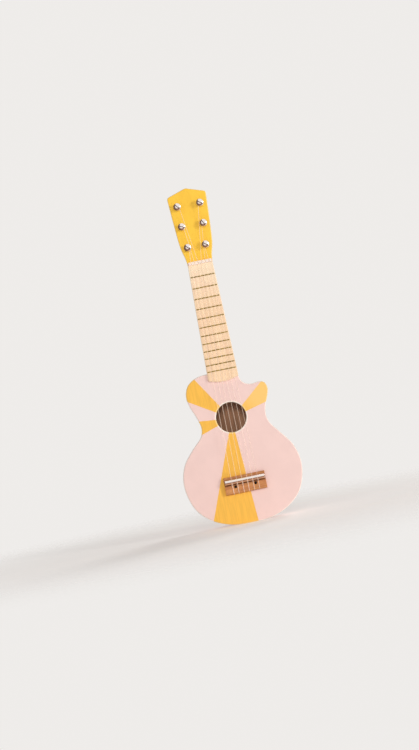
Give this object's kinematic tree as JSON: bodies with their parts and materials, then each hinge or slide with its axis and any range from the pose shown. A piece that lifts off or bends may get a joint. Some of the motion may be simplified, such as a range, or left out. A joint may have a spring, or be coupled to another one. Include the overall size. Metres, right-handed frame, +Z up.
{
  "type": "toy guitar",
  "caption": "Child's wooden acoustic guitar with a hollow cutaway body, round sound hole, painted rays, nylon strings tied to the bridge and turning tuner posts in a peaked headstock.",
  "frame": {"origin": "bottom centre of the whole guitar's box: X = 0 is the neck's centreline, Z = 0 the lowest point of the body, Y = 0 halfway between the back panel and the strings at the saddle rod", "axes": "+Z up along the neck to the headstock's peak, front (soundboard and strings) towards -Y, +X to the right as seen from the front, the side with the cutaway"},
  "size_m": [0.19, 0.0618, 0.54],
  "materials": {
    "pink_paint": "satin pale pink paint on thin wood board",
    "yellow_paint": "satin warm yellow paint on wood",
    "bare_wood": "fine pale wood under a thin matt lacquer",
    "bridge_wood": "stained reddish-brown wood, satin",
    "inner_wood": "raw sawn softwood",
    "nut_plastic": "pinkish-white moulded plastic",
    "fret_brass": "dull drawn wire",
    "chrome": "polished plating with light handling marks",
    "string_nylon": "clear, slightly milky nylon",
    "screw_steel": "zinc-plated screw",
    "black_steel": "blackened screw"
  },
  "bodies": {
    "guitar": {"soundboard": "pink_paint", "back_panel": "pink_paint", "side_rim": "pink_paint", "neck_block": "inner_wood", "tail_block": "inner_wood", "upper_brace": "inner_wood", "lower_brace": "inner_wood", "bridge_plate": "inner_wood", "neck": "yellow_paint", "neck_screw_upper": "screw_steel", "neck_screw_lower": "screw_steel", "fingerboard": "bare_wood", "fret_01": "fret_brass", "fret_02": "fret_brass", "fret_03": "fret_brass", "fret_04": "fret_brass", "fret_05": "fret_brass", "fret_06": "fret_brass", "fret_07": "fret_brass", "fret_08": "fret_brass", "fret_09": "fret_brass", "fret_10": "fret_brass", "fret_11": "fret_brass", "fret_12": "fret_brass", "nut": "nut_plastic", "bridge": "bridge_wood", "saddle_rod": "chrome", "bridge_screw_left": "black_steel", "bridge_screw_right": "black_steel", "string_1": "string_nylon", "string_2": "string_nylon", "string_3": "string_nylon", "string_4": "string_nylon", "string_5": "string_nylon", "string_6": "string_nylon", "tuner_bushing_1": "chrome", "tuner_bushing_2": "chrome", "tuner_bushing_3": "chrome", "tuner_bushing_4": "chrome", "tuner_bushing_5": "chrome", "tuner_bushing_6": "chrome"},
    "tuner_1": {"tuner_post_1": "chrome", "tuner_knob_1": "chrome", "tuner_screw_1": "screw_steel"},
    "tuner_2": {"tuner_post_2": "chrome", "tuner_knob_2": "chrome", "tuner_screw_2": "screw_steel"},
    "tuner_3": {"tuner_post_3": "chrome", "tuner_knob_3": "chrome", "tuner_screw_3": "screw_steel"},
    "tuner_4": {"tuner_post_4": "chrome", "tuner_knob_4": "chrome", "tuner_screw_4": "screw_steel"},
    "tuner_5": {"tuner_post_5": "chrome", "tuner_knob_5": "chrome", "tuner_screw_5": "screw_steel"},
    "tuner_6": {"tuner_post_6": "chrome", "tuner_knob_6": "chrome", "tuner_screw_6": "screw_steel"}
  },
  "joints": [
    {"name": "tuner_1_turn", "type": "hinge", "parent": "guitar", "child": "tuner_1", "pos_m": [0.0144, -0.01912, 0.4461], "axis": [0, 1, 0], "continuous": true},
    {"name": "tuner_2_turn", "type": "hinge", "parent": "guitar", "child": "tuner_2", "pos_m": [0.0177, -0.01912, 0.4802], "axis": [0, 1, 0], "continuous": true},
    {"name": "tuner_3_turn", "type": "hinge", "parent": "guitar", "child": "tuner_3", "pos_m": [0.0186, -0.01912, 0.5128], "axis": [0, 1, 0], "continuous": true},
    {"name": "tuner_4_turn", "type": "hinge", "parent": "guitar", "child": "tuner_4", "pos_m": [-0.018, -0.01912, 0.5128], "axis": [0, 1, 0], "continuous": true},
    {"name": "tuner_5_turn", "type": "hinge", "parent": "guitar", "child": "tuner_5", "pos_m": [-0.0172, -0.01912, 0.4802], "axis": [0, 1, 0], "continuous": true},
    {"name": "tuner_6_turn", "type": "hinge", "parent": "guitar", "child": "tuner_6", "pos_m": [-0.0144, -0.01912, 0.4461], "axis": [0, 1, 0], "continuous": true}
  ]
}
